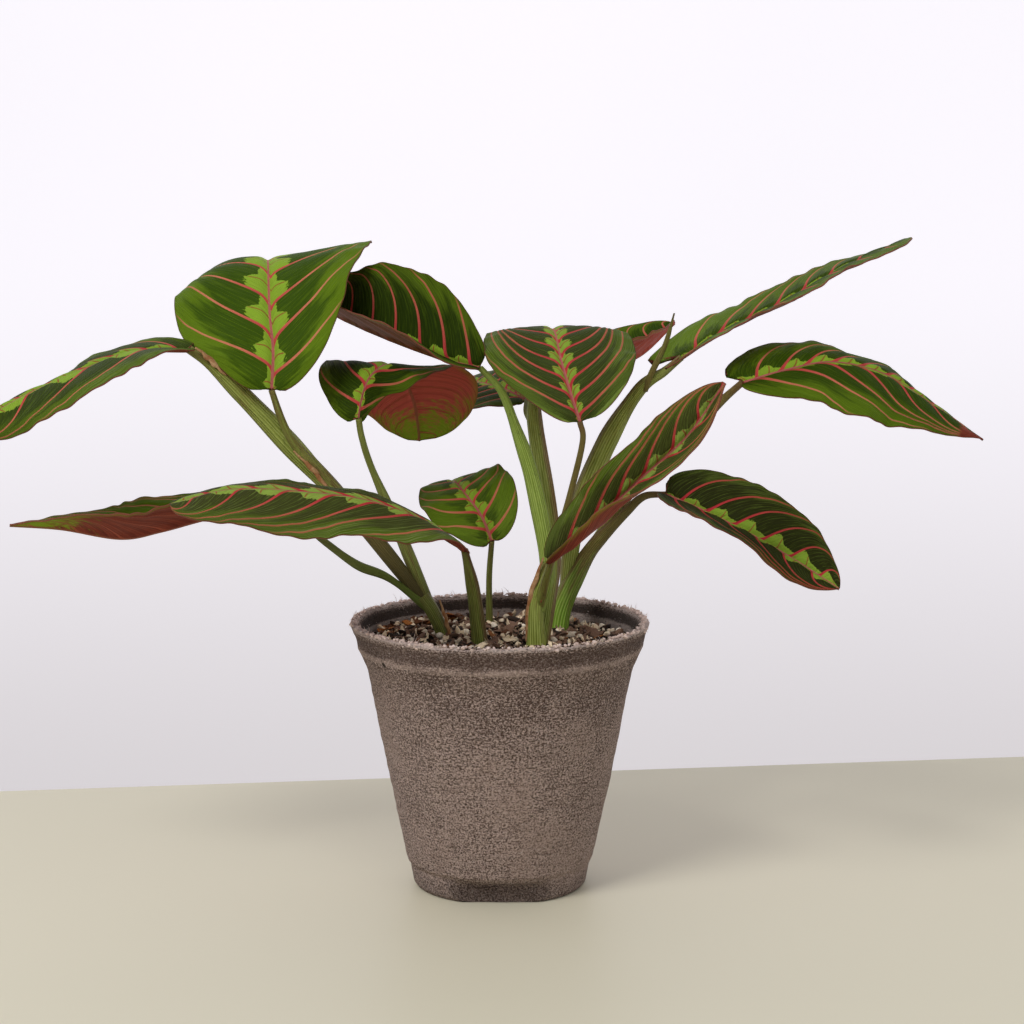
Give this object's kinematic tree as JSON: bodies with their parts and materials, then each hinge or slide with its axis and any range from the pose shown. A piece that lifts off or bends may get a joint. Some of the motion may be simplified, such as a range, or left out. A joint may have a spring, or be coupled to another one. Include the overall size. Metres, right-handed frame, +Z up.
{
  "type": "potted prayer plant",
  "caption": "Potted prayer plant: branching stalks with broad arched leaves standing in potting mix in a round tapered moulded-fibre pot.",
  "frame": {"origin": "centre of the pot's underside, where the pot rests", "axes": "+Z up, +X to the viewer's right across the plant's widest spread, +Y away from the viewer"},
  "size_m": [0.3556, 0.1581, 0.2324],
  "materials": {
    "pot_fibre": "rough moulded plant-fibre pulp, speckled",
    "potting_mix": "loose bark and fibre with white mineral grains",
    "stalk": "waxy ribbed green stalk, brown at the knees",
    "leaf_blade": "satin leaf, dark green with lime midrib band and red veins, burgundy beneath"
  },
  "bodies": {
    "root": {"pot": "pot_fibre", "soil": "potting_mix", "shoot_left": "stalk", "shoot_front": "stalk", "shoot_small": "stalk", "shoot_centre": "stalk", "shoot_right": "stalk", "leaf_far_left": "leaf_blade", "leaf_arched_top": "leaf_blade", "leaf_back_left": "leaf_blade", "leaf_domed": "leaf_blade", "leaf_centre": "leaf_blade", "leaf_back_centre": "leaf_blade", "leaf_high_right": "leaf_blade", "leaf_right": "leaf_blade", "leaf_front_slant": "leaf_blade", "leaf_low_right": "leaf_blade", "leaf_front_left": "leaf_blade", "leaf_low_left": "leaf_blade", "leaf_small": "leaf_blade", "leaf_hidden": "leaf_blade", "leaf_rolled": "leaf_blade"}
  },
  "joints": []
}
